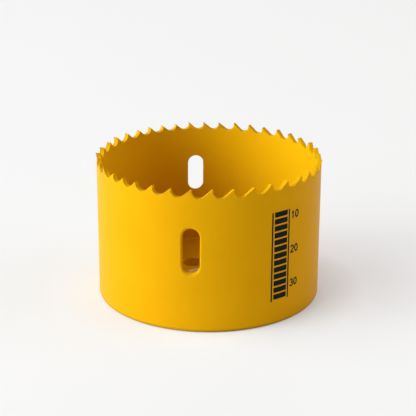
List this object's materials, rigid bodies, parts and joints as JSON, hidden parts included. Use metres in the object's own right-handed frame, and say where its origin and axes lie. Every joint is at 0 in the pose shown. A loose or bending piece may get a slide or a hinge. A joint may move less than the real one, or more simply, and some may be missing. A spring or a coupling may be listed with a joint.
{
  "type": "hole saw",
  "caption": "Cup-shaped hole saw: a painted steel ring with hooked teeth round its rim, ejector slots in its side and a thick threaded drive plate in its base.",
  "frame": {"origin": "centre of the drive plate's outer face, on the saw's axis", "axes": "+Z along the axis towards the tooth tips; the slot nearest the viewer in the picture lies just left of -Y, and the teeth cut anticlockwise seen from +Z"},
  "size_m": [0.0643, 0.064, 0.041],
  "materials": {
    "yellow_paint": "semi-gloss",
    "black_print": "satin",
    "bare_thread": "machined"
  },
  "bodies": {
    "root": {"toothed_band": "yellow_paint", "drive_plate": "yellow_paint"}
  },
  "joints": []
}
